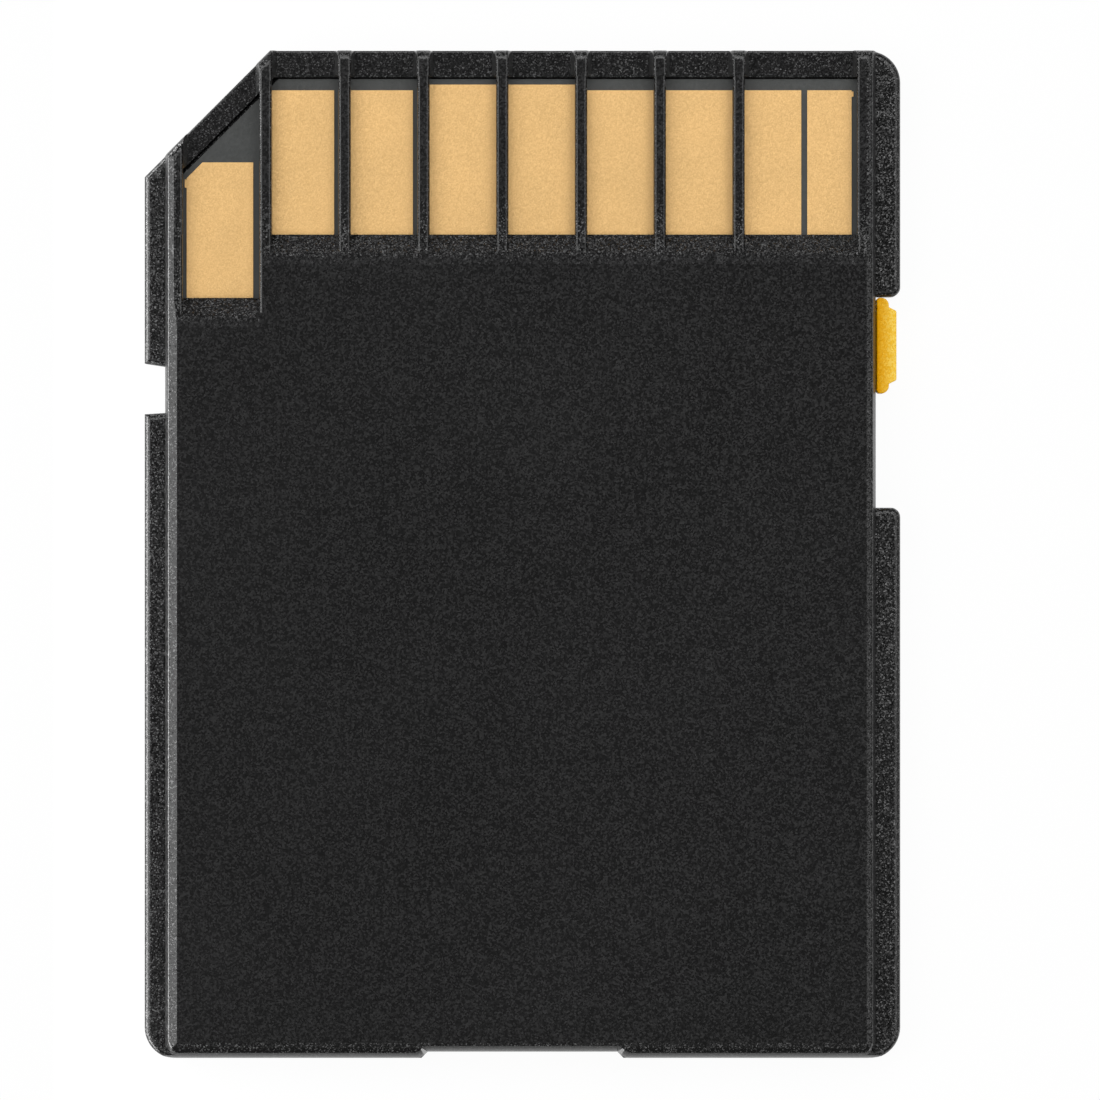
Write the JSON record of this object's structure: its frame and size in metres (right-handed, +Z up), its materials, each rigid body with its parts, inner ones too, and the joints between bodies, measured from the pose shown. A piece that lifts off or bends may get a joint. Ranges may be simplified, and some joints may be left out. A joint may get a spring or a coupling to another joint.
{
  "type": "memory card",
  "caption": "Full-size memory card with a cut corner, side rails, ribbed windows over gold contacts and a sliding write-protect switch.",
  "frame": {"origin": "centre of the card's footprint, on the plane of its label face", "axes": "+X to the right as seen from the contact side with the contact edge at the top, +Y towards the contact edge, +Z up out of the contact side"},
  "size_m": [0.024, 0.032, 0.0021],
  "materials": {
    "cover_plastic": "fine moulded grain",
    "board_mask": "satin solder mask",
    "contact_gold": "satin gold plating",
    "package_resin": "matte moulded resin",
    "capacitor_body": "fired ceramic",
    "resistor_body": "fired glaze",
    "switch_plastic": "satin moulded"
  },
  "bodies": {
    "card": {"front_cover": "cover_plastic", "back_cover": "cover_plastic", "circuit_board": "board_mask", "contact_1": "contact_gold", "contact_2": "contact_gold", "contact_3": "contact_gold", "contact_4": "contact_gold", "contact_5": "contact_gold", "contact_6": "contact_gold", "contact_7": "contact_gold", "contact_8": "contact_gold", "contact_9": "contact_gold", "flash_memory": "package_resin", "controller": "package_resin", "capacitor_1": "capacitor_body", "capacitor_2": "capacitor_body", "capacitor_3": "capacitor_body", "capacitor_4": "capacitor_body", "resistor_1": "resistor_body", "resistor_2": "resistor_body", "resistor_3": "resistor_body"},
    "switch": {"write_protect_switch": "switch_plastic"}
  },
  "joints": [
    {"name": "write_protect_slide", "type": "slide", "parent": "card", "child": "switch", "axis": [0, -1, 0], "range_m": [0, 0.0036]}
  ]
}
